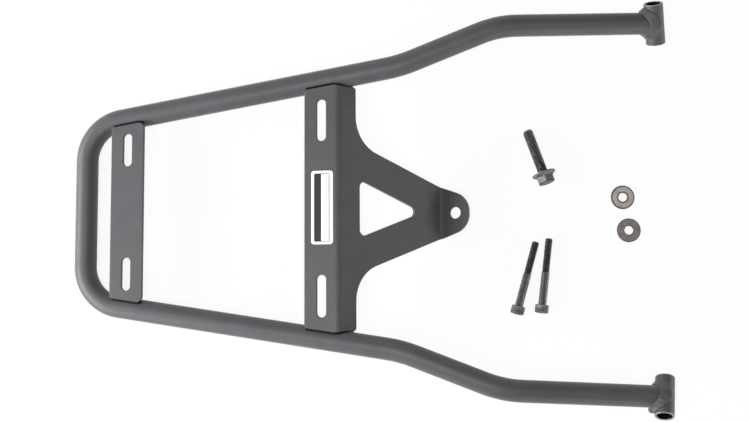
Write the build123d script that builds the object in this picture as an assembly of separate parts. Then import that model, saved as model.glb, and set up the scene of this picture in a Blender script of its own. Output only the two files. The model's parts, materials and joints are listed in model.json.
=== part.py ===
from build123d import *
import os
from math import asin, atan2, cos, degrees, hypot, radians, sin, sqrt, tan

# Rigid tail rack for a motorcycle, lying deck up on the ground with its fasteners beside it.
# Millimetres and degrees. The rack's own frame starts at the middle of the rear tube:
# +X runs forward along the deck, +Y to the left and +Z out of the deck.

# Tube frame: one tube, bent into a U with two kinks in each arm
tube_diameter = 16.0
tube_wall = 1.5
rear_corner_half_width = 65.2
arm_kink_x = 235.0
arm_kink_half_width = 101.5
flare_length = 70.4
flare_spread = 27.4
flare_drop = 5.8
arm_end_length = 111.65
arm_end_spread = 6.1
arm_end_drop = 38.2
rear_bend_radius = 30.6
arm_kink_radius = 90.0
flare_kink_radius = 70.0

# Mount sleeves: short tubes across the ends of the arms, tilted up and swept back
sleeve_diameter = 14.0
sleeve_bore = 11.0
sleeve_length = 30.0
sleeve_rise = 28.4
sleeve_sweep = 4.4

# Welds, and the gap left between welded curved faces
fit_up_gap = 0.05
sleeve_weld_leg = 4.0
sleeve_weld_toe = 2.5
plate_weld_radius = 2.6
plate_weld_depth = 0.8
plate_weld_inset = 5.0

# Cross plates: flat strip stock whose ends rest on the inner shoulders of the arms
plate_thickness = 3.0
plate_width = 24.8
plate_end_offset = 6.0
plate_seat_gap = 0.3
plate_corner_radius = 2.5
slot_width = 6.5
rear_plate_x = 34.3
rear_plate_front_radius = 4.0
rear_slot_length = 24.0
rear_slot_half_spacing = 45.5
front_strip_x = 179.6
front_slot_length = 30.0
front_slot_half_spacing = 62.8

# Front bracket: the strip folds down into a flange and tongue, then creases up into a tab
fold_angle = 44.0
fold_inside_radius = 4.5
crease_angle = 60.0
crease_inside_radius = 3.0
flange_depth = 15.3
flange_taper = 8.0
flange_end_gap = 0.2
tongue_length = 91.1
tongue_root_half_width = 47.4
tongue_root_radius = 27.0
tongue_crease_half_width = 19.6
tab_length = 22.3
tab_corner_radius = 15.0
tab_hole_diameter = 8.7
tab_hole_from_crease = 11.5

# Three-cornered window in the tongue
window_from_fold = 18.5
window_length = 56.3
window_half_width = 21.0
window_corner_radius = 4.0

# Blank label on the front strip
label_width = 16.0
label_length = 52.6
label_thickness = 0.2
label_corner_radius = 2.0
label_forward = 0.6

# M8 hex flange bolt for the tab
bolt_diameter = 8.0
bolt_length = 35.0
bolt_tip_chamfer = 1.2
bolt_flange_diameter = 17.7
bolt_flange_rim = 1.4
bolt_flange_slope = 1.6
bolt_hex = 12.0
bolt_head_height = 8.0
bolt_place = (340.15, 29.45)
bolt_heading = 108.3
bolt_roll = 20.0

# M6 socket head cap screws for the sleeves
screw_diameter = 6.0
screw_thread_diameter = 5.7
screw_length = 50.0
screw_thread_length = 26.0
screw_tip_chamfer = 0.8
screw_head_diameter = 10.0
screw_head_height = 6.0
screw_socket = 5.0
screw_socket_depth = 3.0
left_screw_place = (320.5, -69.8)
left_screw_heading = 73.8
right_screw_place = (338.0, -68.9)
right_screw_heading = 82.6

# Wide M6 washers for the sleeves
washer_diameter = 18.0
washer_bore = 6.6
washer_thickness = 1.6
left_washer_place = (401.1, 11.9)
right_washer_place = (405.1, -13.1)

# Length of cutting tools that only have to reach past the work
reach = 600.0

tube_radius = tube_diameter / 2
sleeve_radius = sleeve_diameter / 2
flare_kink_x = arm_kink_x + flare_length
flare_kink_half_width = arm_kink_half_width + flare_spread
sleeve_x = flare_kink_x + arm_end_length
sleeve_half_width = flare_kink_half_width + arm_end_spread
sleeve_drop = flare_drop + arm_end_drop
arm_angle = degrees(atan2(arm_kink_half_width - rear_corner_half_width, arm_kink_x))
plate_underside = sqrt(tube_radius**2 - plate_end_offset**2) + plate_seat_gap
plate_top = plate_underside + plate_thickness
fold_x = front_strip_x + plate_width / 2
straight_arm_x = rear_bend_radius * tan(radians(90 - arm_angle) / 2) * cos(radians(arm_angle))
tongue_angle = -fold_angle
tab_angle = crease_angle - fold_angle
tongue_taper = (tongue_root_half_width - tongue_crease_half_width) / (tongue_length - flange_depth)


def heading(angle):
    """Unit vector in the rack's X-Z plane, by its angle above the deck."""
    return Vector(cos(radians(angle)), 0, sin(radians(angle)))


fold_point = Vector(fold_x, 0, plate_top)
crease_point = fold_point + heading(tongue_angle) * tongue_length
tip_point = crease_point + heading(tab_angle) * tab_length


def arm_half_width(x):
    """Half the distance between the arms' centre lines, over the flat deck."""
    return rear_corner_half_width + x * tan(radians(arm_angle))


def plate_half_width(x):
    """Half the length of a cross plate at one point of its width."""
    return arm_half_width(x) - plate_end_offset / cos(radians(arm_angle))


def flange_half_width(distance):
    """Half the width of the flange, by the distance from the fold. Its underside ends short of the arms."""
    underside_x = fold_x + distance * cos(radians(fold_angle)) - plate_thickness * sin(radians(fold_angle))
    return arm_half_width(underside_x) - (tube_radius + flange_end_gap) / cos(radians(arm_angle))


# The bracket's ends draw in, past the start of the fold, from the strip's length to the flange's
fold_setback = (fold_inside_radius + plate_thickness) * tan(radians(fold_angle) / 2)
fold_start = fold_x - fold_setback
draw_in = plate_half_width(fold_start) - flange_half_width(flange_taper)
fold_half_width = plate_half_width(fold_start) - draw_in * fold_setback / (fold_setback + flange_taper)


def tongue_half_width(distance):
    """Half the width of the tongue and tab, by the distance from the fold along the top face."""
    return tongue_crease_half_width + (tongue_length - distance) * tongue_taper


def mirrored_outline(half):
    """Closed face from the points of its +Y half, in order along X."""
    other_half = [(x, -y) for x, y in reversed(half)]
    return make_face(Polyline(*half, *other_half, close=True))


def round_corner(face, x, y, radius):
    """Round the corner at a point of a face and the corner that mirrors it."""
    for corner in ((x, y), (x, -y)):
        face = fillet(face.vertices().sort_by_distance(Vector(*corner, 0))[0], radius)
    return face


def slots(x, half_spacing, length):
    """The two slots of a cross plate, as a flat sketch."""
    return Locations((x, half_spacing), (x, -half_spacing)) * SlotOverall(length, slot_width, rotation=90)


def arm_corners(side):
    """Corners of one arm's centre line, from the rear tube to the sleeve."""
    return [
        Vector(0, side * rear_corner_half_width, 0),
        Vector(arm_kink_x, side * arm_kink_half_width, 0),
        Vector(flare_kink_x, side * flare_kink_half_width, -flare_drop),
        Vector(sleeve_x, side * sleeve_half_width, -sleeve_drop),
    ]


def sleeve_plane(side):
    """Plane across one sleeve's middle, with its normal along the bore, pointing out and up."""
    along_x = -sin(radians(sleeve_sweep)) * cos(radians(sleeve_rise))
    along_y = side * cos(radians(sleeve_sweep)) * cos(radians(sleeve_rise))
    return Plane(arm_corners(side)[-1], z_dir=(along_x, along_y, sin(radians(sleeve_rise))))


def arm_end_plane(side):
    """Plane across one arm's end at the sleeve, with its normal along the arm."""
    kink, end = arm_corners(side)[-2:]
    return Plane(end, z_dir=end - kink)


def bent_tube(section):
    """A flat section carried along the whole centre line, from the left sleeve to the right one."""
    bends = [flare_kink_radius, arm_kink_radius, rear_bend_radius]
    corners = list(reversed(arm_corners(1))) + arm_corners(-1)
    path = FilletPolyline(*corners, radius=bends + list(reversed(bends)))
    return sweep(Plane(path @ 0, z_dir=path % 0) * section, path=path)


tube_space = bent_tube(Circle(tube_radius + fit_up_gap))


def tube_frame():
    tube = bent_tube(Circle(tube_radius) - Circle(tube_radius - tube_wall))
    for side in (1, -1):
        tube -= sleeve_plane(side) * Cylinder(sleeve_radius + fit_up_gap, sleeve_length)
    return tube


def mount_sleeve(side):
    sleeve = Cylinder(sleeve_radius, sleeve_length) - Cylinder(sleeve_bore / 2, sleeve_length)
    return sleeve_plane(side) * sleeve


def sleeve_weld(side):
    back = sleeve_radius + sleeve_weld_leg
    ring_radius = tube_radius + sleeve_weld_leg
    up_to_end = (Align.CENTER, Align.CENTER, Align.MAX)
    ring = Pos(0, 0, sleeve_weld_toe) * Cylinder(ring_radius, back + sleeve_weld_toe, align=up_to_end)
    arm = Cylinder(tube_radius + fit_up_gap, reach, align=up_to_end)
    weld = arm_end_plane(side) * (ring & Sphere(ring_radius + sleeve_weld_leg / 2))
    weld &= sleeve_plane(side) * Cylinder(back, sleeve_length)
    weld -= arm_end_plane(side) * arm
    return weld - sleeve_plane(side) * Cylinder(sleeve_radius + fit_up_gap, reach)


def plate_weld(plate_x, side):
    """Bead in the corner under one end of a plate, along the straight of the arm."""
    back = max(plate_x - plate_width / 2 + plate_weld_inset, straight_arm_x)
    front = plate_x + plate_width / 2 - plate_weld_inset
    middle = (back + front) / 2
    along_arm = Pos(middle, side * arm_half_width(middle), 0) * Rot(0, 0, side * arm_angle)
    bead_reach = plate_weld_radius - plate_weld_depth
    bead_height = plate_underside - bead_reach
    bead_offset = sqrt((tube_radius + bead_reach) ** 2 - bead_height**2)
    bead = Rot(0, 90, 0) * Cylinder(plate_weld_radius, front - back)
    bead = Pos(0, -side * bead_offset, bead_height) * bead
    bead -= Rot(0, 90, 0) * Cylinder(tube_radius + fit_up_gap, reach)
    on_underside = (Align.CENTER, Align.CENTER, Align.MIN)
    bead -= Pos(0, 0, plate_underside) * Box(reach, reach, plate_thickness, align=on_underside)
    return along_arm * bead


def rear_cross_plate():
    back = rear_plate_x - plate_width / 2
    front = rear_plate_x + plate_width / 2
    outline = mirrored_outline([(back, plate_half_width(back)), (front, plate_half_width(front))])
    outline = round_corner(outline, back, plate_half_width(back), plate_corner_radius)
    outline = round_corner(outline, front, plate_half_width(front), rear_plate_front_radius)
    outline -= slots(rear_plate_x, rear_slot_half_spacing, rear_slot_length)
    return Pos(0, 0, plate_underside) * extrude(outline, plate_thickness) - tube_space


def inner_corner(point, angle_before, angle_after):
    """Point under a bend, on the far face of the sheet."""
    half_turn = radians(angle_after - angle_before) / 2
    return point - heading((angle_before + angle_after) / 2 + 90) * (plate_thickness / cos(half_turn))


def bracket_sheet():
    """The bracket's folded side profile, across the whole deck."""
    back = Vector(front_strip_x - plate_width / 2, 0, plate_top)
    fold_under = inner_corner(fold_point, 0, tongue_angle)
    crease_under = inner_corner(crease_point, tongue_angle, tab_angle)
    outline = [
        back,
        fold_point,
        crease_point,
        tip_point,
        inner_corner(tip_point, tab_angle, tab_angle),
        crease_under,
        fold_under,
        inner_corner(back, 0, 0),
    ]
    profile = make_face(Polyline(*outline, close=True))
    bends = [
        (fold_point, fold_inside_radius + plate_thickness),
        (fold_under, fold_inside_radius),
        (crease_point, crease_inside_radius),
        (crease_under, crease_inside_radius + plate_thickness),
    ]
    for point, radius in bends:
        profile = fillet(profile.vertices().sort_by_distance(point)[0], radius)
    return extrude(profile, amount=arm_half_width(fold_x), dir=(0, 1, 0), both=True)


def strip_outline():
    back = front_strip_x - plate_width / 2
    outline = mirrored_outline([
        (back, plate_half_width(back)),
        (fold_start, plate_half_width(fold_start)),
        (fold_x, fold_half_width),
        (fold_x + plate_width, fold_half_width),
    ])
    outline = round_corner(outline, back, plate_half_width(back), plate_corner_radius)
    return outline - slots(front_strip_x, front_slot_half_spacing, front_slot_length)


def tongue_outline():
    outline = mirrored_outline([
        (-flange_depth, fold_half_width),
        (0, fold_half_width),
        (flange_taper, flange_half_width(flange_taper)),
        (flange_depth, flange_half_width(flange_depth)),
        (flange_depth, tongue_root_half_width),
        (tongue_length + flange_depth, tongue_half_width(tongue_length + flange_depth)),
    ])
    outline = round_corner(outline, flange_depth, flange_half_width(flange_depth), plate_corner_radius)
    outline = round_corner(outline, flange_depth, tongue_root_half_width, tongue_root_radius)
    window = Polyline(
        (window_from_fold, window_half_width),
        (window_from_fold + window_length, 0),
        (window_from_fold, -window_half_width),
        close=True,
    )
    window = make_face(window)
    return outline - fillet(window.vertices(), window_corner_radius)


def tab_outline():
    end = tongue_half_width(tongue_length + tab_length)
    start = tongue_half_width(tongue_length - tab_length)
    outline = mirrored_outline([(-tab_length, start), (tab_length, end)])
    outline = round_corner(outline, tab_length, end, tab_corner_radius)
    return outline - Pos(tab_hole_from_crease, 0) * Circle(tab_hole_diameter / 2)


def panel(sheet, outline, point, angle):
    """One flat panel of the folded sheet, cut square to its own face."""
    face_plane = Plane(point, x_dir=heading(angle), z_dir=heading(angle + 90))
    return sheet & face_plane * extrude(outline, amount=2 * plate_thickness + flange_depth, both=True)


def front_bracket_plate():
    sheet = bracket_sheet()
    at_fold = Plane(fold_point, z_dir=heading(tongue_angle / 2))
    at_crease = Plane(crease_point, z_dir=heading((tongue_angle + tab_angle) / 2))
    strip = split(sheet, bisect_by=at_fold, keep=Keep.BOTTOM)
    below_fold = split(sheet, bisect_by=at_fold, keep=Keep.TOP)
    tongue = split(below_fold, bisect_by=at_crease, keep=Keep.BOTTOM)
    tab = split(below_fold, bisect_by=at_crease, keep=Keep.TOP)
    bracket = panel(strip, strip_outline(), Vector(0, 0, plate_top), 0)
    bracket += panel(tongue, tongue_outline(), fold_point, tongue_angle)
    bracket += panel(tab, tab_outline(), crease_point, tab_angle)
    return bracket - tube_space


def blank_label():
    outline = RectangleRounded(label_width, label_length, label_corner_radius)
    return Pos(front_strip_x + label_forward, 0, plate_top) * extrude(outline, label_thickness)


def turned(points):
    """Solid of revolution about X, from the points of its profile, a distance along X and a radius each."""
    profile = make_face(Polyline(*[(along, 0, radius) for along, radius in points], close=True))
    return revolve(profile, axis=Axis.X)


def flange_bolt():
    """Bolt along X, from the flange's bearing face, with the thread towards +X."""
    radius = bolt_diameter / 2
    flange = bolt_flange_diameter / 2
    hex_face = Plane.YZ * RegularPolygon(bolt_hex / 2, 6, major_radius=False)
    shank = turned([
        (-bolt_flange_rim, 0),
        (-bolt_flange_rim, radius),
        (bolt_length - bolt_tip_chamfer, radius),
        (bolt_length, radius - bolt_tip_chamfer),
        (bolt_length, 0),
    ])
    collar = turned([
        (0, 0),
        (0, flange),
        (-bolt_flange_rim, flange),
        (-bolt_flange_rim - bolt_flange_slope, bolt_hex / 2),
        (-bolt_flange_rim - bolt_flange_slope, 0),
    ])
    return Rot(bolt_roll, 0, 0) * (shank + collar + extrude(hex_face, -bolt_head_height))


def cap_screw():
    """Screw along X, from under its head, with the thread towards +X."""
    thread = screw_thread_diameter / 2
    thread_start = screw_length - screw_thread_length
    body = turned([
        (-screw_head_height, 0),
        (-screw_head_height, screw_head_diameter / 2),
        (0, screw_head_diameter / 2),
        (0, screw_diameter / 2),
        (thread_start, screw_diameter / 2),
        (thread_start, thread),
        (screw_length - screw_tip_chamfer, thread),
        (screw_length, thread - screw_tip_chamfer),
        (screw_length, 0),
    ])
    socket = Plane.YZ * RegularPolygon(screw_socket / 2, 6, major_radius=False)
    return body - Pos(-screw_head_height, 0, 0) * extrude(socket, screw_socket_depth)


def washer():
    return extrude(Circle(washer_diameter / 2) - Circle(washer_bore / 2), washer_thickness)


def lay_down(piece, place, direction, head_radius, tip_radius, length):
    """Lay a headed fastener on the ground, on the rim under its head and on its tip."""
    nose_down = degrees(atan2(head_radius - tip_radius, length))
    height = head_radius * cos(radians(nose_down))
    return Pos(*place, height) * Rot(0, 0, direction) * Rot(0, nose_down, 0) * piece


def lay_bolt():
    touch = bolt_length - bolt_tip_chamfer
    flange = bolt_flange_diameter / 2
    return lay_down(flange_bolt(), bolt_place, bolt_heading, flange, bolt_diameter / 2, touch)


def lay_screw(place, direction):
    touch = screw_length - screw_tip_chamfer
    head = screw_head_diameter / 2
    return lay_down(cap_screw(), place, direction, head, screw_thread_diameter / 2, touch)


def rack_to_ground():
    """Place of the rack's own frame, once the rear tube and the crease both rest on the ground."""
    lift = crease_inside_radius / cos(radians(crease_angle / 2))
    bend_centre = crease_point + heading((tongue_angle + tab_angle) / 2 + 90) * lift
    bend_radius = crease_inside_radius + plate_thickness
    distance = hypot(bend_centre.X, bend_centre.Z)
    slope = degrees(atan2(bend_centre.Z, bend_centre.X) - asin((bend_radius - tube_radius) / distance))
    return Pos(0, 0, tube_radius) * Rot(0, slope, 0)


ground = rack_to_ground()
pieces = {
    "tube_frame": ground * tube_frame(),
    "rear_cross_plate": ground * rear_cross_plate(),
    "front_bracket_plate": ground * front_bracket_plate(),
    "blank_label": ground * blank_label(),
    "flange_bolt": lay_bolt(),
    "left_cap_screw": lay_screw(left_screw_place, left_screw_heading),
    "right_cap_screw": lay_screw(right_screw_place, right_screw_heading),
    "left_washer": Pos(*left_washer_place) * washer(),
    "right_washer": Pos(*right_washer_place) * washer(),
}
for name, side in (("left", 1), ("right", -1)):
    pieces[f"{name}_mount_sleeve"] = ground * mount_sleeve(side)
    pieces[f"{name}_sleeve_weld"] = ground * sleeve_weld(side)
    pieces[f"{name}_rear_plate_weld"] = ground * plate_weld(rear_plate_x, side)
    pieces[f"{name}_front_plate_weld"] = ground * plate_weld(front_strip_x, side)

# The part's origin is on the ground, under the middle of the rack's length
box = pieces["tube_frame"].bounding_box().add(pieces["left_mount_sleeve"].bounding_box())
to_origin = Pos(-box.center().X, 0, 0)
os.makedirs("parts", exist_ok=True)
for node, piece in pieces.items():
    export_step(to_origin * piece, f"parts/{node}.step")
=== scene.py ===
import json
from math import atan2, cos, degrees, hypot, inf, pi, radians, sin, sqrt, tan

import bmesh
import bpy
import numpy as np
from mathutils import Matrix, Vector


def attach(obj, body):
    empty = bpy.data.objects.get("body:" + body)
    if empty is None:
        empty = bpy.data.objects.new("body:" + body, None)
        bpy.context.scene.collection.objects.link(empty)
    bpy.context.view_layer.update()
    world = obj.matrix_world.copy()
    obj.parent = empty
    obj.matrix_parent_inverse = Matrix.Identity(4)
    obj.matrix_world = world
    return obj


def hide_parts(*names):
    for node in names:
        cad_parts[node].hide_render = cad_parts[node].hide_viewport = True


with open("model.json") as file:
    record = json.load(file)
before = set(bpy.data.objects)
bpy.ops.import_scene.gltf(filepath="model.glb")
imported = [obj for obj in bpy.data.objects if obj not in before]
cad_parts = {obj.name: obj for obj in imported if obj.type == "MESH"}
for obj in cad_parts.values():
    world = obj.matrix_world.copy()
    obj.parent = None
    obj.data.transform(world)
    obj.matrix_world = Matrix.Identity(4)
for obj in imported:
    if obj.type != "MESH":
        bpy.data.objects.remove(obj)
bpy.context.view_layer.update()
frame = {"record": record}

# A rigid motorcycle tail rack in satin powder coat, lying deck up beside its loose fasteners.
# Sizes are in millimetres and angles in degrees, and each piece is scaled to metres where it is placed.
# The rack's own frame starts at the middle of the rear tube, with X along the deck and Z out of it.
mm = 0.001
sides = {"left": 1, "right": -1}
smooth_angle = 35.0

# Tube frame
tube_radius = 8.0
tube_wall = 1.5
tube_sides = 56
bend_step = 3.0
rear_corner = (0.0, 65.2, 0.0)
arm_kink = (235.0, 101.5, 0.0)
flare_kink = (305.4, 128.9, -5.8)
arm_end = (417.05, 135.0, -44.0)
rear_bend_radius = 30.6
arm_kink_radius = 90.0
flare_kink_radius = 70.0
arm_slant = atan2(arm_kink[1] - rear_corner[1], arm_kink[0])

# Mount sleeves, in whose walls the arms end
sleeve_radius = 7.0
sleeve_rim_round = 0.3
sleeve_sides = 72
arm_stop_radius = 6.3

# Weld beads round the sleeves, with each reach given towards the sleeve's axis and away from it
bead_blend = 6.0
bead_side_reach = 6.0
bead_reach_on_tube = {"left": (3.6, 4.4), "right": (4.4, 2.2)}
bead_reach_on_sleeve = {"left": (11.6, 10.4), "right": (12.2, 11.0)}
bead_wrap = 106.0
bead_bulge = 0.5
bead_uneven = 0.6
bead_swells = (2, 3, 5)
bead_seeds = {"left": 3, "right": 8}
bead_ripple = 0.07
bead_ripples = 18
bead_ripple_bow = 5.0
bead_sink = 0.12
bead_arm_run = 1.0
bead_core_share = 0.5
bead_back_share = 0.8
bead_columns = 176
bead_rows = 18
bead_search_steps = 26
bead_smooth_angle = 60.0

# Round drop at the end of each sleeve bead: its radius, its distance back from the sleeve,
# and its distance out from the arm
drop_size = {"left": (2.1, 1.9, 0.8), "right": (2.5, 2.3, 1.3)}
drop_blend = 1.0

# Cross plates, the bracket's folds and its cut-outs
plate_thickness = 3.0
plate_width = 24.8
plate_end_offset = 6.0
plate_seat_gap = 0.3
plate_underside = sqrt(tube_radius**2 - plate_end_offset**2) + plate_seat_gap
plate_top = plate_underside + plate_thickness
plate_corner_radius = 2.5
slot_width = 6.5
rear_plate_x = 34.3
rear_plate_front_radius = 4.0
rear_slot = (45.5, 24.0)
front_strip_x = 179.6
front_fold_x = front_strip_x + plate_width / 2
front_slot = (62.8, 30.0)
fold_angle = 44.0
fold_radius = 7.5
fold_setback = fold_radius * tan(radians(fold_angle) / 2)
crease_angle = 60.0
crease_radius = 3.0
flange_depth = 15.3
flange_taper = 8.0
flange_end_gap = 0.2
tongue_length = 91.1
tongue_root_half_width = 47.4
tongue_root_radius = 27.0
tongue_crease_half_width = 19.6
tab_length = 22.3
tab_corner_radius = 15.0
tab_hole_radius = 4.35
tab_hole_from_crease = 11.5
window_from_fold = 18.5
window_length = 56.3
window_half_width = 21.0
window_corner_radius = 4.0

# Bends of the bracket: distance from the fold along the flat sheet, turn and radius
bracket_bends = [(0.0, -fold_angle, fold_radius), (tongue_length, crease_angle, crease_radius)]

# Sheet edges, and the share of a half width that rounds the end of a slot
edge_round = 0.5
edge_round_steps = 3
full_round = 0.999
sheet_join_distance = 0.002
sheet_cut_distance = 0.0005
sheet_smooth_angle = 10.0

# Beads under the ends of the cross plates
plate_bead_radius = 2.6
plate_bead_depth = 0.8
plate_bead_inset = 5.0
plate_bead_ripple = 0.14
plate_bead_pitch = 1.7
plate_bead_least_end = 0.05
plate_bead_rows_per_pitch = 6
plate_bead_sides = 32

# Painted shade: dark strips over the welds, in the grooves beside the plates' ends
groove_shade_rise = 1.9
groove_shade_spread = 1.9
groove_shade_sink = 0.1
groove_shade_inset = {"rear": 1.2, "front": 0.8}
groove_shade_limit = 7.3
flange_groove_shade_depth = (0.3, 2.6)
flange_groove_shade_steps = 16

# Blank label, with each part given by its back, its front, half its length and its corner radius
label_border = (-7.85, 7.85, 26.2, 2.0)
label_panel = (-5.8, 5.4, 24.3, 0.9)
label_field = (-0.65, 4.9, 23.9, 0.4)
label_forward = 0.6
label_thickness = 0.2
label_edge_round = 0.04

# Threads, with their flats and flanks as shares of half a pitch
thread_root_flat = 0.25
thread_flank = 0.625
thread_crest_share = 0.35
thread_lead = 2.4
thread_rows_per_pitch = 12
thread_sides = 48
head_sides = 192

# M8 hex flange bolt
bolt_radius = 4.0
bolt_root_radius = 3.3
bolt_pitch = 1.25
bolt_length = 35.0
bolt_tip_chamfer = 1.2
bolt_flange_radius = 8.85
bolt_flange_rim = 1.4
bolt_flange_top = 3.0
bolt_seat_chamfer = 0.2
bolt_rim_chamfer = (0.3, 0.25)
bolt_cone_shares = (0.35, 0.7, 0.9, 1.0)
bolt_hex_radius = 6.0
bolt_hex_foot = 0.4
bolt_head_height = 8.0
bolt_head_chamfer = 0.7
bolt_crown_share = 0.94
bolt_crown_angle = 60.0
bolt_crown_rows = (1.0, 0.7, 0.55, 0.4, 0.25, 0.12, 0.0)
bolt_recess = (4.7, 0.35)
bolt_recess_flare = 0.3
bolt_place = (340.15, 29.45)
bolt_heading = 108.3
bolt_roll = 20.0

# M6 socket head cap screws
screw_radius = 3.0
screw_thread_radius = 2.85
screw_root_radius = 2.4
screw_pitch = 1.0
screw_length = 50.0
screw_thread_length = 26.0
screw_tip_chamfer = 0.8
screw_head_radius = 5.0
screw_head_height = 6.0
screw_head_chamfer = 0.5
screw_head_round = 0.25
screw_rim_draw = 0.02
screw_shoulder_draw = 0.05
screw_crown_drop = 0.1
screw_socket_radius = 2.5
screw_socket_depth = 3.0
screw_socket_lead = 0.2
screw_socket_point = (0.5, 0.4)
screw_fillet = ((0.0, 0.3), (0.12, 0.1), (0.4, 0.0))
screw_shank_end = ((-0.3, 0.0), (0.5, 0.1))
knurl_grooves = 48
knurl_depth = 0.16
knurl_from_seat = 0.5
knurl_from_chamfer = 0.4
knurl_run_out = 0.03
screw_places = {"left": ((320.5, -69.8), 73.8), "right": ((338.0, -68.9), 82.6)}

# Wide M6 washers
washer_radius = 9.0
washer_thickness = 1.6
washer_edge_round = 0.7
washer_band_shade_width = 1.3
washer_sides = 96

mounts = {mount["name"]: mount for mount in frame["record"]["mounts"]}
node_bodies = {
    node: body
    for body, nodes in frame["record"]["behaviour"]["bodies"].items()
    for node in nodes
}


def deck_frame():
    """Matrix from the rack's own frame, in millimetres, to the row frame, from the deck's mount."""
    face = mounts["rear_deck_face"]
    up = Vector(face["axis"])
    across = Vector((0, 1, 0))
    forward = across.cross(up)
    origin = Vector(face["pos_m"]) - (forward * rear_plate_x + up * plate_top) * mm
    turn = Matrix((forward, across, up)).transposed().to_4x4()
    return Matrix.Translation(origin) @ turn @ Matrix.Scale(mm, 4)


deck = deck_frame()


def axis_frame(origin, axis, hint):
    """Matrix of a local frame, in millimetres, whose Z follows an axis and whose X lies near a hint."""
    z = Vector(axis).normalized()
    x = Vector(hint)
    x = (x - z * x.dot(z)).normalized()
    turn = Matrix((x, z.cross(x), z)).transposed().to_4x4()
    return Matrix.Translation(Vector(origin)) @ turn @ Matrix.Scale(mm, 4)


# Mesh helpers


def paint(mesh, materials, choose):
    """Give each face of a mesh the material that a rule picks from the face's middle."""
    for material in materials:
        mesh.materials.append(material)
    for face in mesh.polygons:
        face.material_index = choose(face.center)


def show(name, mesh, node, material, place, sharp_angle=smooth_angle):
    """Place a finished mesh in the stead of a CAD node. A painted mesh needs no material."""
    mesh.transform(place)
    mesh.update()
    mesh.shade_smooth()
    mesh.set_sharp_from_angle(angle=radians(sharp_angle))
    if material is not None:
        mesh.materials.append(material)
    piece = bpy.data.objects.new(name, mesh)
    bpy.context.scene.collection.objects.link(piece)
    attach(piece, node_bodies[node])
    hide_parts(node)


def mesh_from(shell):
    """Mesh of a closed shell, given by its points and its faces, with outward normals."""
    points, faces = shell
    shape = bmesh.new()
    corners = [shape.verts.new(point) for point in points]
    for face in faces:
        shape.faces.new([corners[index] for index in face])
    bmesh.ops.recalc_face_normals(shape, faces=shape.faces)
    mesh = bpy.data.meshes.new("piece")
    shape.to_mesh(mesh)
    shape.free()
    return mesh


def quads(rows, columns, closed_rows=False):
    """Faces of a grid of points whose columns run round in a ring."""
    faces = []
    for row in range(rows if closed_rows else rows - 1):
        below = row * columns
        above = (row + 1) % rows * columns
        for column in range(columns):
            beside = (column + 1) % columns
            faces.append((below + column, below + beside, above + beside, above + column))
    return faces


def capped(points, columns):
    """Closed shell from rows of points round a section, with a flat face at each end."""
    last = len(points) - columns
    ends = [tuple(range(columns)), tuple(range(last, last + columns))]
    return points, quads(len(points) // columns, columns) + ends


def turned(rows, count):
    """Closed shell about X, from distances along X and radii. A radius may depend on the angle round X."""
    angles = [2 * pi * index / count for index in range(count)]
    points = []
    for along, radius in rows:
        for angle in angles:
            reach = radius(angle) if callable(radius) else radius
            points.append((along, reach * cos(angle), reach * sin(angle)))
    faces = quads(len(rows), count)
    for row, first in ((rows[0], 0), (rows[-1], (len(rows) - 1) * count)):
        points.append((row[0], 0, 0))
        hub = len(points) - 1
        faces += [(hub, first + index, first + (index + 1) % count) for index in range(count)]
    return points, faces


def turned_ring(profile, count):
    """Closed shell about Z, from a closed profile of distances along Z and radii."""
    points = []
    for along, radius in profile:
        for index in range(count):
            angle = 2 * pi * index / count
            points.append((radius * cos(angle), radius * sin(angle), along))
    return points, quads(len(profile), count, closed_rows=True)


def rounded(corners, radii, closed=True):
    """Points of a line through corners, with an arc at each. A corner of radius 0 stays sharp."""
    points = []
    count = len(corners)
    corners = [Vector(corner) for corner in corners]
    for index, (corner, radius) in enumerate(zip(corners, radii)):
        if radius == 0 or (not closed and index in (0, count - 1)):
            points.append(corner)
            continue
        back = (corners[index - 1] - corner).normalized()
        ahead = (corners[(index + 1) % count] - corner).normalized()
        turn = pi - back.angle(ahead)
        centre = corner + (back + ahead).normalized() * (radius / cos(turn / 2))
        start = corner + back * (radius * tan(turn / 2)) - centre
        end = corner + ahead * (radius * tan(turn / 2)) - centre
        steps = max(2, round(degrees(turn) / bend_step))
        for step in range(steps + 1):
            share = step / steps
            points.append(centre + (start * sin((1 - share) * turn) + end * sin(share * turn)) / sin(turn))
    return points


def rounded_section(low, high, inside, outside, radius):
    """Closed profile of a ring's wall, in distances along and radii, with its four edges rounded."""
    corners = [(low, inside, 0), (low, outside, 0), (high, outside, 0), (high, inside, 0)]
    return [(point.x, point.y) for point in rounded(corners, [radius] * 4)]


# Shader helpers


def new_material(name):
    material = bpy.data.materials.new(name)
    material.use_nodes = True
    nodes = material.node_tree.nodes
    return material, nodes, material.node_tree.links, nodes["Principled BSDF"]


def noise(nodes, links, scale, detail=3.0, roughness=0.5):
    """Noise over the object's own metres."""
    where = nodes.new("ShaderNodeTexCoord")
    texture = nodes.new("ShaderNodeTexNoise")
    texture.inputs["Scale"].default_value = scale
    texture.inputs["Detail"].default_value = detail
    texture.inputs["Roughness"].default_value = roughness
    links.new(where.outputs["Object"], texture.inputs["Vector"])
    return texture.outputs["Fac"]


def ramp(nodes, links, source, first, last):
    """Colour ramp between two stops, each a position and a colour."""
    node = nodes.new("ShaderNodeValToRGB")
    for element, (position, colour) in zip(node.color_ramp.elements, (first, last)):
        element.position = position
        element.color = (*colour, 1.0)
    links.new(source, node.inputs["Fac"])
    return node.outputs["Color"]


def spread(nodes, links, source, low, high):
    """Map a 0 to 1 signal to a range of values."""
    node = nodes.new("ShaderNodeMapRange")
    node.inputs["To Min"].default_value = low
    node.inputs["To Max"].default_value = high
    links.new(source, node.inputs["Value"])
    return node.outputs["Result"]


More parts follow.
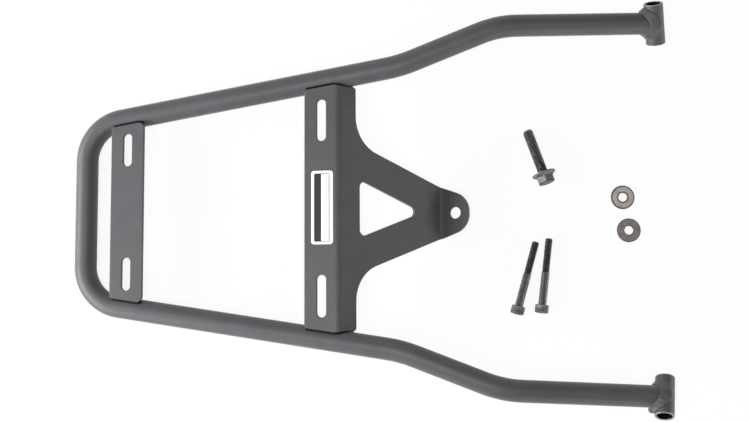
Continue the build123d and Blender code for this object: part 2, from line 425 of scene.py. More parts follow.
def bump(nodes, links, source, strength, height, normal=None):
    """Relief of a height in metres, on top of another relief if one is given."""
    node = nodes.new("ShaderNodeBump")
    node.inputs["Strength"].default_value = strength
    node.inputs["Distance"].default_value = height
    links.new(source, node.inputs["Height"])
    if normal is not None:
        links.new(normal, node.inputs["Normal"])
    return node.outputs["Normal"]


def powder_coat():
    """Satin dark grey coat with a fine orange peel and a soft sheen."""
    material, nodes, links, shader = new_material("powder_coat")
    cloud = noise(nodes, links, scale=60.0)
    peel = noise(nodes, links, scale=900.0, detail=2.0)
    grain = noise(nodes, links, scale=2600.0, detail=2.0)
    dark = (0.3, (0.066, 0.0645, 0.071))
    light = (0.7, (0.076, 0.0745, 0.081))
    links.new(ramp(nodes, links, cloud, dark, light), shader.inputs["Base Color"])
    links.new(spread(nodes, links, peel, low=0.42, high=0.54), shader.inputs["Roughness"])
    shader.inputs["Specular IOR Level"].default_value = 0.35
    shader.inputs["Sheen Weight"].default_value = 0.4
    shader.inputs["Sheen Roughness"].default_value = 0.3
    peeled = bump(nodes, links, peel, strength=0.18, height=0.0002)
    grained = bump(nodes, links, grain, strength=0.16, height=0.0001, normal=peeled)
    links.new(grained, shader.inputs["Normal"])
    return material


def plain_metal(name, dark, light, roughness, metallic=0.85):
    """Bare or plated steel with mottled colour and roughness."""
    material, nodes, links, shader = new_material(name)
    mottle = noise(nodes, links, scale=350.0, detail=4.0, roughness=0.6)
    grain = noise(nodes, links, scale=1400.0, detail=3.0, roughness=0.6)
    links.new(ramp(nodes, links, mottle, (0.35, dark), (0.65, light)), shader.inputs["Base Color"])
    low, high = roughness
    links.new(spread(nodes, links, grain, low, high), shader.inputs["Roughness"])
    links.new(bump(nodes, links, grain, strength=0.25, height=0.0001), shader.inputs["Normal"])
    shader.inputs["Metallic"].default_value = metallic
    return material


def film(name, colour, gloss=0.5):
    """Printed plastic film, or a dull skin of painted shade."""
    material, nodes, links, shader = new_material(name)
    fleck = noise(nodes, links, scale=700.0)
    fleck_shade = 0.93
    darker = tuple(part * fleck_shade for part in colour)
    links.new(ramp(nodes, links, fleck, (0.3, darker), (0.7, colour)), shader.inputs["Base Color"])
    links.new(spread(nodes, links, fleck, low=0.38, high=0.5), shader.inputs["Roughness"])
    shader.inputs["Specular IOR Level"].default_value = gloss
    return material


coat = powder_coat()
# Lighter grey for the sleeves' end faces: a painted highlight.
painted_rim_highlight = plain_metal("painted_rim_highlight", (0.26, 0.26, 0.27), (0.36, 0.36, 0.37), (0.45, 0.6))
# Near-black skin for the sleeves' bores: painted shade.
painted_bore_shade = film("painted_bore_shade", (0.006, 0.006, 0.0065), gloss=0.1)
# Near-black for the strips in the grooves at the plates' ends: painted shade.
painted_groove_shade = plain_metal("painted_groove_shade", (0.008, 0.008, 0.009), (0.016, 0.016, 0.017), (0.6, 0.8))
zinc = plain_metal("zinc_plate", (0.11, 0.108, 0.104), (0.19, 0.187, 0.18), (0.46, 0.62), 0.45)
# Dark zinc for the rim of the bolt's top: a painted shadow.
zinc_painted_shadow = plain_metal("zinc_plate_painted_shadow", (0.03, 0.03, 0.029), (0.06, 0.059, 0.057), (0.5, 0.65), 0.45)
# Brighter zinc for the bolt's thread crests and tip: a painted highlight.
zinc_crest_highlight = plain_metal("zinc_plate_crest_highlight", (0.22, 0.22, 0.215), (0.37, 0.365, 0.355), (0.34, 0.5))
oxide = plain_metal("black_oxide", (0.13, 0.12, 0.125), (0.2, 0.185, 0.19), (0.36, 0.5))
oxide_head = plain_metal("black_oxide_head", (0.1, 0.091, 0.085), (0.18, 0.162, 0.15), (0.4, 0.55))
oxide_crest = plain_metal("black_oxide_crest", (0.12, 0.115, 0.11), (0.22, 0.21, 0.2), (0.36, 0.5))
# Near-black for the roots of threads: painted shade.
painted_root_shade = plain_metal("painted_root_shade", (0.01, 0.01, 0.01), (0.022, 0.021, 0.02), (0.5, 0.65))
washer_pale = plain_metal("washer_pale", (0.42, 0.365, 0.32), (0.56, 0.49, 0.445), (0.45, 0.6))
washer_dark = plain_metal("washer_dark", (0.19, 0.17, 0.17), (0.27, 0.238, 0.238), (0.45, 0.6))
# Darker band and dark rim near each washer edge: painted shade.
washer_band_shade = plain_metal("washer_band_shade", (0.2, 0.178, 0.165), (0.29, 0.255, 0.238), (0.45, 0.6))
washer_rim_shade = plain_metal("washer_rim_shade", (0.07, 0.062, 0.058), (0.12, 0.106, 0.1), (0.45, 0.6))


# Tube frame


def arm_corners(side):
    return [Vector((x, side * y, z)) for x, y, z in (rear_corner, arm_kink, flare_kink, arm_end)]


def sleeve_mount(name):
    """Place of a sleeve's middle and its axis, in the rack's own frame."""
    mount = mounts[f"{name}_sleeve_bore"]
    to_rack = deck.inverted()
    middle = to_rack @ Vector(mount["pos_m"])
    axis = (to_rack.to_3x3() @ Vector(mount["axis"])).normalized()
    return middle, axis


def run_to_cylinder(point, direction, middle, axis, radius):
    """How far a point runs along a direction to the near wall of a cylinder, or to its nearest approach."""
    away = point - middle
    straight = direction - axis * direction.dot(axis)
    offset = away - axis * away.dot(axis)
    square = straight.dot(straight)
    middle_run = -offset.dot(straight) / square
    inside = middle_run**2 - (offset.dot(offset) - radius**2) / square
    return middle_run - sqrt(max(inside, 0.0))


def tube_skin(path, radius):
    """Rings of a tube's skin along a path, with the end rings run on into the sleeves' walls."""
    tangents = []
    for index in range(len(path)):
        before = path[max(index - 1, 0)]
        after = path[min(index + 1, len(path) - 1)]
        tangents.append((after - before).normalized())
    angles = [2 * pi * index / tube_sides for index in range(tube_sides)]
    across = tangents[0].orthogonal().normalized()
    rings = []
    for point, tangent in zip(path, tangents):
        across = (across - tangent * across.dot(tangent)).normalized()
        other = tangent.cross(across)
        rings.append([point + (across * cos(angle) + other * sin(angle)) * radius for angle in angles])
    for index, name in ((0, "left"), (-1, "right")):
        middle, axis = sleeve_mount(name)
        outward = tangents[index] if index else -tangents[index]
        rings[index] = [
            corner + outward * run_to_cylinder(corner, outward, middle, axis, arm_stop_radius)
            for corner in rings[index]
        ]
    return rings


def build_tube_frame():
    bends = [0, flare_kink_radius, arm_kink_radius, rear_bend_radius]
    corners = arm_corners(sides["left"])[::-1] + arm_corners(sides["right"])
    path = rounded(corners, bends + bends[::-1], closed=False)
    rings = tube_skin(path, tube_radius)
    rings += reversed(tube_skin(path, tube_radius - tube_wall))
    points = [point for ring in rings for point in ring]
    mesh = mesh_from((points, quads(len(rings), tube_sides, closed_rows=True)))
    show("tube_frame_skin", mesh, "tube_frame", coat, deck)


# Mount sleeves and the beads that join them to the arms


def build_sleeve(name):
    mount = mounts[f"{name}_sleeve_bore"]
    half = mount["dims"]["length_mm"] / 2
    bore = mount["dims"]["r_mm"]
    profile = rounded_section(-half, half, bore, sleeve_radius, sleeve_rim_round)
    place = axis_frame(mount["pos_m"], mount["axis"], (0, 0, 1))
    mesh = mesh_from(turned_ring(profile, sleeve_sides))

    # End faces get the painted highlight and the bore painted shade; the rest is coat.
    def zone(point):
        if abs(point.z) > half - sleeve_rim_round:
            return 1
        return 2 if hypot(point.x, point.y) < bore + sleeve_rim_round else 0

    paint(mesh, [coat, painted_rim_highlight, painted_bore_shade], zone)
    show(f"{name}_sleeve_skin", mesh, f"{name}_mount_sleeve", None, place)


def smooth_union(first, second, width):
    """Distance to two shapes joined by a fillet."""
    share = np.clip(0.5 + 0.5 * (second - first) / width, 0, 1)
    return second * (1 - share) + first * share - width * share * (1 - share)


def build_sleeve_weld(name):
    """Rippled bead over the joint of an arm and its sleeve, found along rays from inside it."""
    middle, axis = sleeve_mount(name)
    kink, tip = arm_corners(sides[name])[-2:]
    arm = (tip - kink).normalized()
    along = (axis - arm * axis.dot(arm)).normalized()
    across = arm.cross(along)
    facing = (-arm - axis * (-arm).dot(axis)).normalized()
    beside = axis.cross(facing)
    if beside.dot(across) < 0:
        beside = -beside
    phases = np.random.default_rng(bead_seeds[name]).uniform(0, 2 * pi, len(bead_swells))
    drop_radius, drop_back, drop_out = drop_size[name]
    right = Vector((0, -1, 0))
    right = (right - arm * right.dot(arm)).normalized()
    drop = middle + right * (tube_radius + drop_out)
    drop += arm * (run_to_cylinder(drop, arm, middle, axis, sleeve_radius) - drop_back)

    def joined(point, angle, share):
        """Distance from the bead's skin, which swells between its two edges."""
        away = point - middle
        from_arm = (away - arm * away.dot(arm)).length - tube_radius
        past_end = away.dot(arm) - bead_arm_run
        tube = max(from_arm, past_end) if min(from_arm, past_end) < 0 else hypot(from_arm, past_end)
        sleeve = (away - axis * away.dot(axis)).length - sleeve_radius
        swell = sqrt(4 * share * (1 - share))
        wave = cos(bead_ripples * angle + bead_ripple_bow * (share - 0.5) ** 2)
        swells = [sin(count * angle + phase) for count, phase in zip(bead_swells, phases)]
        uneven = bead_uneven * (sum(swells) / len(swells))
        proud = swell * (bead_bulge * (1 + uneven) + bead_ripple * wave)
        bead = smooth_union(tube, sleeve, bead_blend) - proud
        return smooth_union(bead, (point - drop).length - drop_radius, drop_blend)

    def reach_to_skin(core, ray, angle, share):
        near = 0.0
        far = 2 * tube_radius
        for _ in range(bead_search_steps):
            half = (near + far) / 2
            if joined(core + ray * half, angle, share) < 0:
                near = half
            else:
                far = half
        return near

    points = []
    for row in range(bead_rows):
        share = row / (bead_rows - 1)
        sink = bead_sink if row in (0, bead_rows - 1) else 0.0
        for column in range(bead_columns):
            angle = 2 * pi * column / bead_columns
            end = 0 if cos(angle) > 0 else 1
            end_reach = sleeve_radius + bead_reach_on_tube[name][end]
            reach = bead_side_reach * sin(angle) ** 2 + end_reach * cos(angle) ** 2
            outward = along * cos(angle) + across * sin(angle)
            rim = middle + outward * tube_radius
            on_tube = rim + arm * (run_to_cylinder(rim, arm, middle, axis, 0.0) - reach)
            wrap = radians(bead_wrap) * sin(angle)
            on_sleeve = middle + axis * (bead_reach_on_sleeve[name][end] * cos(angle))
            on_sleeve += (facing * cos(wrap) + beside * sin(wrap)) * sleeve_radius
            core = middle + ((on_tube + on_sleeve) / 2 - middle) * bead_core_share
            ray = (on_tube.lerp(on_sleeve, share) - core).normalized()
            points.append(core + ray * (reach_to_skin(core, ray, angle, share) - sink))
    for first, last in zip(points[:bead_columns], points[-bead_columns:]):
        points.append(middle + ((first + last) / 2 - middle) * bead_back_share)
    mesh = mesh_from((points, quads(bead_rows + 1, bead_columns, closed_rows=True)))
    show(f"{name}_sleeve_bead", mesh, f"{name}_sleeve_weld", coat, deck, bead_smooth_angle)


# Cross plates


def arm_half_width(x):
    """Half the distance between the arms' centre lines, over the flat deck."""
    return rear_corner[1] + x * (arm_kink[1] - rear_corner[1]) / arm_kink[0]


def arm_offset(x, y):
    """Distance in from an arm's centre line, over the flat deck."""
    return (arm_half_width(x) - y) * cos(arm_slant)


def plate_half_width(x, offset=plate_end_offset):
    """Half the length of a plate whose ends stop short of the arms' centre lines."""
    return arm_half_width(x) - offset / cos(arm_slant)


def flange_half_width(along):
    """Half the width of the flange, by the distance from the fold. It draws in from the bend's start."""
    fold = radians(fold_angle)
    down = max(along, flange_taper)
    underside_x = front_fold_x + down * cos(fold) - plate_thickness * sin(fold)
    half_width = plate_half_width(underside_x, tube_radius + flange_end_gap)
    share = (down - along) / (flange_taper + fold_setback)
    return half_width + (plate_half_width(front_fold_x - fold_setback) - half_width) * share


def mirrored(half):
    """Points of a whole outline, from the corners and radii of its +Y half in order along X."""
    whole = half + [(x, -y, radius) for x, y, radius in reversed(half)]
    return rounded([(x, y, 0) for x, y, radius in whole], [radius for x, y, radius in whole])


def box_outline(back, front, low, high, radius):
    corners = [(back, low, 0), (front, low, 0), (front, high, 0), (back, high, 0)]
    return rounded(corners, [radius] * 4)


def slot_outlines(x, slot):
    """Pair of long holes with round ends, given by half their spacing and by their length."""
    half_spacing, length = slot
    half = length / 2
    radius = slot_width / 2
    middles = [side * half_spacing for side in sides.values()]
    return [
        box_outline(x - radius, x + radius, middle - half, middle + half, radius * full_round)
        for middle in middles
    ]


def sheet_mesh(outlines, thickness=plate_thickness, edge=edge_round):
    """Flat sheet from an outer outline and its holes, its top at height 0, with rounded edges."""
    curve = bpy.data.curves.new("outline", "CURVE")
    curve.dimensions = "2D"
    curve.fill_mode = "BOTH"
    curve.extrude = (thickness / 2 - edge) * mm
    curve.bevel_depth = edge * mm
    curve.bevel_resolution = edge_round_steps
    curve.offset = -edge * mm
    for outline in outlines:
        spline = curve.splines.new("POLY")
        spline.points.add(len(outline) - 1)
        for point, corner in zip(spline.points, outline):
            point.co = (corner.x * mm, corner.y * mm, 0, 1)
        spline.use_cyclic_u = True
    holder = bpy.data.objects.new("outline", curve)
    bpy.context.scene.collection.objects.link(holder)
    depsgraph = bpy.context.evaluated_depsgraph_get()
    mesh = bpy.data.meshes.new_from_object(holder.evaluated_get(depsgraph))
    bpy.data.objects.remove(holder)
    bpy.data.curves.remove(curve)
    mesh.transform(Matrix.Scale(1 / mm, 4))
    mesh.transform(Matrix.Translation((0, 0, -thickness / 2)))
    return mesh


def join_points(mesh, cuts=()):
    """Join doubled points, and cut a flat sheet across X at the given places."""
    shape = bmesh.new()
    shape.from_mesh(mesh)
    bmesh.ops.remove_doubles(shape, verts=shape.verts, dist=sheet_join_distance)
    for x in cuts:
        everything = shape.verts[:] + shape.edges[:] + shape.faces[:]
        bmesh.ops.bisect_plane(
            shape, geom=everything, dist=sheet_cut_distance, plane_co=(x, 0, 0), plane_no=(1, 0, 0)
        )
    bmesh.ops.recalc_face_normals(shape, faces=shape.faces)
    shape.to_mesh(mesh)
    shape.free()


def build_rear_plate():
    back = rear_plate_x - plate_width / 2
    front = rear_plate_x + plate_width / 2
    outline = [
        (back, plate_half_width(back), plate_corner_radius),
        (front, plate_half_width(front), rear_plate_front_radius),
    ]
    mesh = sheet_mesh([mirrored(outline)] + slot_outlines(rear_plate_x, rear_slot))
    join_points(mesh)
    mesh.transform(Matrix.Translation((0, 0, plate_top)))
    show("rear_plate_skin", mesh, "rear_cross_plate", coat, deck, sheet_smooth_angle)


def bracket_outlines():
    """Flat pattern of the front bracket, by the distance from its fold along the top face."""
    back = -plate_width
    taper = (tongue_root_half_width - tongue_crease_half_width) / (tongue_length - flange_depth)
    tip = tongue_length + tab_length
    outline = [
        (back, plate_half_width(front_fold_x + back), plate_corner_radius),
        (-fold_setback, plate_half_width(front_fold_x - fold_setback), 0),
        (flange_taper, flange_half_width(flange_taper), 0),
        (flange_depth, flange_half_width(flange_depth), plate_corner_radius),
        (flange_depth, tongue_root_half_width, tongue_root_radius),
        (tip, tongue_crease_half_width - tab_length * taper, tab_corner_radius),
    ]
    window = [
        (window_from_fold, window_half_width, 0),
        (window_from_fold + window_length, 0, 0),
        (window_from_fold, -window_half_width, 0),
    ]
    hole_x = tongue_length + tab_hole_from_crease
    reach = tab_hole_radius
    return [
        mirrored(outline),
        rounded(window, [window_corner_radius] * 3),
        box_outline(hole_x - reach, hole_x + reach, -reach, reach, reach * full_round),
    ] + slot_outlines(-plate_width / 2, front_slot)


def folded(along, depth):
    """Place and height of a point of the folded sheet, by its distance from the fold and its depth."""
    place = Vector((front_fold_x, plate_top))
    angle = 0.0
    done = 0.0
    for corner, turn, radius in bracket_bends:
        tangent = radius * tan(radians(abs(turn)) / 2)
        start = corner - tangent
        if along <= start:
            break
        heading = Vector((cos(angle), sin(angle)))
        normal = Vector((-heading.y, heading.x))
        place += heading * (start - done)
        centre = place + normal * (radius if turn > 0 else -radius)
        share = min((along - start) / (2 * tangent), 1.0)
        swing = radians(turn) * share
        place = centre + Matrix.Rotation(swing, 2) @ (place - centre)
        angle += swing
        done = along if share < 1 else corner + tangent
    heading = Vector((cos(angle), sin(angle)))
    normal = Vector((-heading.y, heading.x))
    return place + heading * (along - done) - normal * depth


def build_front_bracket():
    mesh = sheet_mesh(bracket_outlines())
    cuts = []
    for corner, turn, radius in bracket_bends:
        tangent = radius * tan(radians(abs(turn)) / 2)
        steps = round(abs(turn) / bend_step)
        cuts += [corner + tangent * (2 * step / steps - 1) for step in range(steps + 1)]
    join_points(mesh, cuts)
    for vertex in mesh.vertices:
        along, across, height = vertex.co
        place = folded(along, -height)
        vertex.co = (place.x, across, place.y)
    show("front_bracket_skin", mesh, "front_bracket_plate", coat, deck, sheet_smooth_angle)


def build_plate_bead(plate, plate_x, name):
    """Rippled bead in the corner under one end of a plate."""
    side = sides[name]
    half = plate_width / 2 - plate_bead_inset
    reach = plate_bead_radius - plate_bead_depth
    height = plate_underside - reach
    offset = sqrt((tube_radius + reach) ** 2 - height**2)
    steps = round(2 * half / plate_bead_pitch * plate_bead_rows_per_pitch)
    rows = []
    for step in range(steps + 1):
        along = half * (2 * step / steps - 1)
        past = max(0.0, abs(along) - half + plate_bead_radius) / plate_bead_radius
        end = sqrt(max(0.0, 1 - past**2))
        ripple = plate_bead_ripple * abs(cos(pi * along / plate_bead_pitch))
        rows.append((along, (plate_bead_radius - ripple) * max(end, plate_bead_least_end)))
    place = Matrix.Translation((plate_x, side * arm_half_width(plate_x), 0))
    place @= Matrix.Rotation(side * arm_slant, 4, "Z")
    place @= Matrix.Translation((0, -side * offset, height))
    mesh = mesh_from(turned(rows, plate_bead_sides))
    node = f"{name}_{plate}_plate_weld"
    show(f"{name}_{plate}_plate_bead", mesh, node, coat, deck @ place, bead_smooth_angle)


def groove_shade_path(plate, plate_x):
    """Line along the end of a plate and round its front corner, as far as the arm lies under it."""
    back = plate_x - plate_width / 2 + groove_shade_inset[plate]
    front = plate_x + plate_width / 2
    if plate == "front":
        return [Vector((x, plate_half_width(x), 0)) for x in (back, front - fold_setback)]
    corners = [
        (back, plate_half_width(back), 0),
        (front, plate_half_width(front), 0),
        (front, plate_half_width(front) - 2 * rear_plate_front_radius, 0),
    ]
    line = rounded(corners, [0, rear_plate_front_radius, 0], closed=False)
    return [point for point in line if arm_offset(point.x, point.y) < groove_shade_limit]


def build_plate_groove_shade(plate, plate_x, name):
    """Dark strip of painted shade, in the groove between one end of a plate and the arm."""

    def on_arm(place):
        inside = (tube_radius - groove_shade_sink) ** 2 - arm_offset(place.x, place.y) ** 2
        return sqrt(max(inside, 0.0))

    path = groove_shade_path(plate, plate_x)
    points = []
    for index, point in enumerate(path):
        ahead = path[min(index + 1, len(path) - 1)] - path[max(index - 1, 0)]
        outward = Vector((-ahead.y, ahead.x, 0)).normalized()
        under = point - outward * groove_shade_sink
        middle = point + outward * (groove_shade_spread / 3)
        rim = point + outward * groove_shade_spread
        section = [
            (under, on_arm(under)),
            (under, plate_underside + groove_shade_rise),
            (middle, on_arm(rim) + 2 * groove_shade_sink),
            (rim, on_arm(rim)),
        ]
        points += [(place.x, sides[name] * place.y, height) for place, height in section]
    mesh = mesh_from(capped(points, len(section)))
    show(f"{name}_{plate}_plate_groove_shade", mesh, f"{name}_{plate}_plate_weld", painted_groove_shade, deck)


def build_flange_groove_shade(name):
    """Dark strip of painted shade, between one end of the flange and the arm."""
    run = flange_depth - plate_corner_radius + fold_setback
    points = []
    for step in range(flange_groove_shade_steps + 1):
        along = run * step / flange_groove_shade_steps - fold_setback
        section = []
        for depth in flange_groove_shade_depth:
            x, height = folded(along, depth)
            section.append((x, arm_offset(x, flange_half_width(along)) + groove_shade_sink, height))
        for x, offset, height in section[::-1]:
            share = (tube_radius - groove_shade_sink) / hypot(offset, height)
            section.append((x, offset * share, height * share))
        for x, offset, height in section:
            points.append((x, sides[name] * (arm_half_width(x) - offset / cos(arm_slant)), height))
    mesh = mesh_from(capped(points, len(section)))
    show(f"{name}_flange_groove_shade", mesh, f"{name}_front_plate_weld", painted_groove_shade, deck)


# Blank label


def build_label():
    """White border round a dark panel with a pale field let into it."""
    white = film("label_white", (0.86, 0.86, 0.86))
    dark = film("label_dark", (0.028, 0.028, 0.031), gloss=0.25)
    pale = film("label_pale", (0.8, 0.8, 0.8))
    border, panel, field = [
        box_outline(back, front, -half, half, radius)
        for back, front, half, radius in (label_border, label_panel, label_field)
    ]
    place = deck @ Matrix.Translation((front_strip_x + label_forward, 0, plate_top + label_thickness))
    for name, outlines, material in (
        ("border", [border, panel], white),
        ("panel", [panel, field], dark),
        ("field", [field], pale),
    ):
        mesh = sheet_mesh(outlines, label_thickness, label_edge_round)
        join_points(mesh)
        show(f"label_{name}", mesh, "blank_label", material, place, sheet_smooth_angle)


# Loose fasteners


def laid_down(place, heading, head_radius, tip_radius, length):
    """Matrix of a fastener's own frame, in millimetres, as it lies on its head's rim and on its tip."""
    nose_down = atan2(head_radius - tip_radius, length)
    x, y = place
    at = Vector((deck.translation.x + x * mm, y * mm, head_radius * cos(nose_down) * mm))
    turn = Matrix.Rotation(radians(heading), 4, "Z") @ Matrix.Rotation(nose_down, 4, "Y")
    return Matrix.Translation(at) @ turn @ Matrix.Scale(mm, 4)


def thread_rows(start, end, crest, root, pitch, chamfer):
    """Rows of a right-hand thread along X, which runs out at its start and is rounded off at its end."""
    count = round((end - start) / pitch * thread_rows_per_pitch)
    lead = thread_lead * chamfer

    def radius_at(along):
        fade = min((along - start) / pitch, 1.0)
        limit = crest - chamfer * max(0.0, 1 - (end - along) / lead) ** 2

        def radius(angle):
            swing = abs(2 * ((along / pitch - angle / (2 * pi)) % 1) - 1)
            rise = min(max((swing - thread_root_flat) / thread_flank, 0.0), 1.0)
            return min(crest - (crest - root) * (1 - rise) * fade, limit)

        return radius

    places = [start + (end - start) * index / count for index in range(count + 1)]
    return [(along, radius_at(along)) for along in places]


def painted_thread(rows, crest, root, tip, material):
    """Mesh of a thread with painted shade in its roots, and the given material on its crests and its tip.
    """
    mesh = mesh_from(turned(rows, thread_sides))
    bright = crest - thread_crest_share * (crest - root)

    # Roots get the painted shade; crests and the tip keep the given material.
    def in_root(point):
        return int(hypot(point.y, point.z) < bright and point.x < tip)

    paint(mesh, [material, painted_root_shade], in_root)
    return mesh


def hexagon(radius, least=0.0, most=inf):
    """Radius of a hexagon round a circle, by the angle round its middle, kept within limits."""
    return lambda angle: min(max(radius / cos(angle % (pi / 3) - pi / 6), least), most)


def knurled(radius, depth):
    """Radius of a knurled rim, by the angle round its middle."""
    return lambda angle: radius - depth * (0.5 + 0.5 * cos(knurl_grooves * angle))


def bolt_head_rows():
    """Rows of the bolt's head, from its seat over the flange and the hexagon to the recess in its top."""
    rim_rise, rim_draw = bolt_rim_chamfer
    recess_radius, recess_depth = bolt_recess
    shoulder = bolt_flange_radius - rim_draw
    top = -bolt_head_height
    rows = [
        (0, bolt_radius),
        (0, bolt_flange_radius - bolt_seat_chamfer),
        (-bolt_seat_chamfer, bolt_flange_radius),
        (-bolt_flange_rim + rim_rise, bolt_flange_radius),
        (-bolt_flange_rim, shoulder),
    ]
    for share in bolt_cone_shares:
        along = -bolt_flange_rim - share * (bolt_flange_top - bolt_flange_rim)
        slope = shoulder - share * (shoulder - bolt_hex_radius)
        rows.append((along, hexagon(bolt_hex_radius, least=slope)))
    rows.append((-bolt_flange_top - bolt_hex_foot, hexagon(bolt_hex_radius)))
    for from_top in bolt_crown_rows:
        cone = bolt_crown_share * bolt_hex_radius + from_top * tan(radians(bolt_crown_angle))
        rows.append((top + from_top, hexagon(bolt_hex_radius, most=cone)))
    return rows + [
        (top, recess_radius + bolt_recess_flare),
        (top + recess_depth, recess_radius),
        (top + recess_depth, recess_radius / 2),
    ]


def build_flange_bolt():
    touch = bolt_length - bolt_tip_chamfer
    place = laid_down(bolt_place, bolt_heading, bolt_flange_radius, bolt_radius, touch)
    place @= Matrix.Rotation(radians(bolt_roll), 4, "X")
    head = mesh_from(turned(bolt_head_rows(), head_sides))

    # The rim of the head's top takes the painted shadow.
    def on_crown(point):
        above = point.x < bolt_head_chamfer - bolt_head_height
        return int(above and hypot(point.y, point.z) > bolt_recess[0])

    paint(head, [zinc, zinc_painted_shadow], on_crown)
    show("flange_bolt_head", head, "flange_bolt", None, place)
    rows = [(-bolt_flange_rim / 2, bolt_radius)]
    rows += thread_rows(0.0, bolt_length, bolt_radius, bolt_root_radius, bolt_pitch, bolt_tip_chamfer)
    # The crests and the tip take the painted highlight.
    thread = painted_thread(rows, bolt_radius, bolt_root_radius, touch, zinc_crest_highlight)
    show("flange_bolt_thread", thread, "flange_bolt", None, place)


def screw_head_rows():
    """Rows of a screw's head, from its seat up the knurl and over its top into the socket."""
    socket = hexagon(screw_socket_radius)
    point_depth, point_radius = screw_socket_point
    crown = screw_head_radius - screw_head_chamfer
    top = -screw_head_height
    rows = [
        (0, screw_radius),
        (0, screw_head_radius - screw_head_round),
        (-screw_head_round, screw_head_radius - screw_rim_draw),
    ]
    knurl_end = top + screw_head_chamfer + knurl_from_chamfer
    for share in (0.0, knurl_run_out, 1 - knurl_run_out, 1.0):
        along = -knurl_from_seat + share * (knurl_end + knurl_from_seat)
        depth = knurl_depth if 0 < share < 1 else 0.0
        rows.append((along, knurled(screw_head_radius, depth)))
    return rows + [
        (top + screw_head_chamfer, screw_head_radius - screw_shoulder_draw),
        (top + screw_crown_drop, crown),
        (top, crown - screw_head_round),
        (top, lambda angle: socket(angle) + screw_socket_lead),
        (top + screw_socket_lead, socket),
        (top + screw_socket_depth, socket),
        (top + screw_socket_depth + point_depth, point_radius),
    ]


def screw_shank_rows(thread_start):
    """Rows of a screw's plain shank, from inside its head over the fillet to the start of its thread."""
    (plain_run, plain_draw), (thread_run, thread_draw) = screw_shank_end
    return [
        (-screw_head_height / 3, screw_radius),
        *[(along, screw_radius + swell) for along, swell in screw_fillet],
        (thread_start + plain_run, screw_radius - plain_draw),
        (thread_start + thread_run, screw_thread_radius - thread_draw),
    ]


def build_cap_screw(name):
    node = f"{name}_cap_screw"
    touch = screw_length - screw_tip_chamfer
    at, heading = screw_places[name]
    place = laid_down(at, heading, screw_head_radius, screw_thread_radius, touch)
    head = mesh_from(turned(screw_head_rows(), head_sides))
    show(f"{name}_screw_head", head, node, oxide_head, place)
    thread_start = screw_length - screw_thread_length
    shank = mesh_from(turned(screw_shank_rows(thread_start), thread_sides))
    show(f"{name}_screw_shank", shank, node, oxide, place)
    rows = thread_rows(
        thread_start, screw_length, screw_thread_radius, screw_root_radius, screw_pitch, screw_tip_chamfer
    )
    thread = painted_thread(rows, screw_thread_radius, screw_root_radius, touch, oxide_crest)
    show(f"{name}_screw_thread", thread, node, None, place)


def build_washer(name, face):
    """Washer with a worn face, and painted shade in a darker band and a dark rim along each of its edges.
    """
    mount = mounts[f"{name}_washer_bore"]
    half = washer_thickness / 2
    bore = mount["dims"]["r_mm"]
    inner = bore + washer_band_shade_width
    outer = washer_radius - washer_band_shade_width
    section = rounded_section(-half, half, bore, washer_radius, washer_edge_round)
    corner = len(section) // 4
    section[3 * corner:3 * corner] = [(half, outer), (half, inner)]
    section[corner:corner] = [(-half, inner), (-half, outer)]
    place = axis_frame(mount["pos_m"], mount["axis"], (1, 0, 0))
    mesh = mesh_from(turned_ring(section, washer_sides))

    # Bands near each edge get painted shade, darkest on the rounded edges.
    def zone(point):
        radius = hypot(point.x, point.y)
        from_edge = min(radius - bore, washer_radius - radius)
        return int(from_edge < washer_band_shade_width) + int(from_edge < washer_edge_round)

    paint(mesh, [face, washer_band_shade, washer_rim_shade], zone)
    show(f"{name}_washer_skin", mesh, f"{name}_washer", None, place)


build_tube_frame()
for name in sides:
    build_sleeve(name)
    build_sleeve_weld(name)
    for plate, plate_x in (("rear", rear_plate_x), ("front", front_strip_x)):
        build_plate_bead(plate, plate_x, name)
        build_plate_groove_shade(plate, plate_x, name)
    build_flange_groove_shade(name)
    build_cap_screw(name)
build_rear_plate()
build_front_bracket()
build_label()
build_flange_bolt()
build_washer("left", washer_pale)
build_washer("right", washer_dark)

# Floor and its backdrop, in metres and degrees
floor_radius = 6.0
floor_sides = 96
floor_height = -0.0002
backdrop_round = 3.0
backdrop_turn = 60
backdrop_step = 10
floor_paint = (0.95, 0.95, 0.95, 1)
floor_roughness = 0.9
floor_white = 0.9

# Camera
camera_place = (-0.01352, -0.08451, 0.89582)
camera_view = (0.01989, 0.0963, -0.99515)
camera_roll = -0.2868
photo_width = 750
focal_pixels = 1196.91

# Lamps: azimuth and elevation in degrees, distance and size in metres, and power in watts
lamp_target_height = 0.02
lamps = [
    ("left_strip", 180, 18, 1.1, (1.0, 0.5), 14.8),
    ("front_left_strip", 210, 15, 1.1, (1.0, 0.4), 11.0),
    ("right_strip", 0, 7, 1.1, (1.0, 0.22), 3.4),
    ("back_strip", 90, 20, 1.1, (1.0, 0.4), 2.3),
    ("front_right_strip", 315, 12, 1.1, (1.0, 0.3), 3.8),
    ("front_left_box", 225, 72, 1.6, (0.6, 0.6), 12.4),
    ("right_box", 0, 55, 1.6, (0.75, 0.75), 2.6),
]


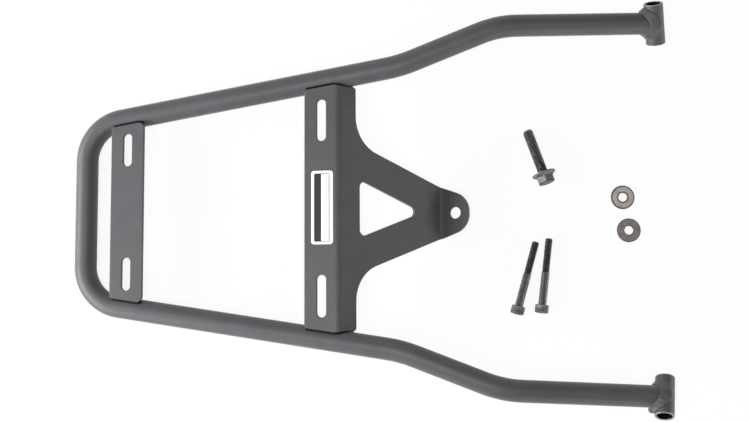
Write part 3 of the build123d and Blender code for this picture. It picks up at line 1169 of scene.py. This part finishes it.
def floor_material():
    """White that is seen straight and in reflections, mixed with paint that takes light and shadow."""
    material, nodes, links, shader = new_material("floor_white")
    shader.inputs["Base Color"].default_value = floor_paint
    shader.inputs["Roughness"].default_value = floor_roughness
    shader.inputs["Specular IOR Level"].default_value = 0.0
    glow = nodes.new("ShaderNodeEmission")
    path = nodes.new("ShaderNodeLightPath")
    seen = path.outputs["Is Camera Ray"]
    for ray in ("Is Glossy Ray", "Is Transmission Ray"):
        either = nodes.new("ShaderNodeMath")
        either.operation = "MAXIMUM"
        links.new(seen, either.inputs[0])
        links.new(path.outputs[ray], either.inputs[1])
        seen = either.outputs["Value"]
    share = nodes.new("ShaderNodeMath")
    share.operation = "MULTIPLY"
    share.inputs[1].default_value = floor_white
    mix = nodes.new("ShaderNodeMixShader")
    links.new(seen, share.inputs[0])
    links.new(share.outputs["Value"], mix.inputs["Fac"])
    links.new(shader.outputs["BSDF"], mix.inputs[1])
    links.new(glow.outputs["Emission"], mix.inputs[2])
    links.new(mix.outputs["Shader"], nodes["Material Output"].inputs["Surface"])
    return material


def build_floor():
    """Round floor whose edge curves up into a low backdrop of the same white."""
    spokes = [2 * pi * index / floor_sides for index in range(floor_sides)]
    turns = range(0, backdrop_turn + 1, backdrop_step)
    points = []
    for turn in turns:
        reach = floor_radius + backdrop_round * sin(radians(turn))
        rise = floor_height + backdrop_round * (1 - cos(radians(turn)))
        points += [(reach * cos(spoke), reach * sin(spoke), rise) for spoke in spokes]
    mesh = bpy.data.meshes.new("floor")
    mesh.from_pydata(points, [], [range(floor_sides)] + quads(len(turns), floor_sides))
    mesh.materials.append(floor_material())
    floor = bpy.data.objects.new("floor", mesh)
    bpy.context.scene.collection.objects.link(floor)


def build_camera():
    camera = bpy.data.cameras.new("camera")
    camera.sensor_width = 36.0
    camera.lens = camera.sensor_width * focal_pixels / photo_width
    holder = bpy.data.objects.new("camera", camera)
    bpy.context.scene.collection.objects.link(holder)
    view = Vector(camera_view).normalized()
    right = view.cross(Vector((0, 1, 0))).normalized()
    turn = Matrix((right, right.cross(view), -view)).transposed().to_4x4()
    roll = Matrix.Rotation(radians(camera_roll), 4, "Z")
    holder.matrix_world = Matrix.Translation(camera_place) @ turn @ roll
    bpy.context.scene.camera = holder


def area_light(name, azimuth, elevation, distance, size, power):
    """Lamp that faces the middle of the object, placed by its direction from there and its distance."""
    target = Vector((0, 0, lamp_target_height))
    flat = cos(radians(elevation))
    away = Vector((cos(radians(azimuth)) * flat, sin(radians(azimuth)) * flat, sin(radians(elevation))))
    lamp = bpy.data.lights.new(name, "AREA")
    lamp.shape = "RECTANGLE"
    lamp.size, lamp.size_y = size
    lamp.energy = power
    holder = bpy.data.objects.new(name, lamp)
    bpy.context.scene.collection.objects.link(holder)
    holder.location = target + away * distance
    holder.rotation_euler = (-away).to_track_quat("-Z", "Y").to_euler()


def build_world():
    """Dark room beyond the backdrop, so that all the light comes from the lamps."""
    world = bpy.data.worlds.new("studio")
    world.use_nodes = True
    world.node_tree.nodes["Background"].inputs["Strength"].default_value = 0.0
    bpy.context.scene.world = world


build_floor()
build_camera()
build_world()
for lamp in lamps:
    area_light(*lamp)
bpy.context.scene.view_settings.view_transform = "Standard"
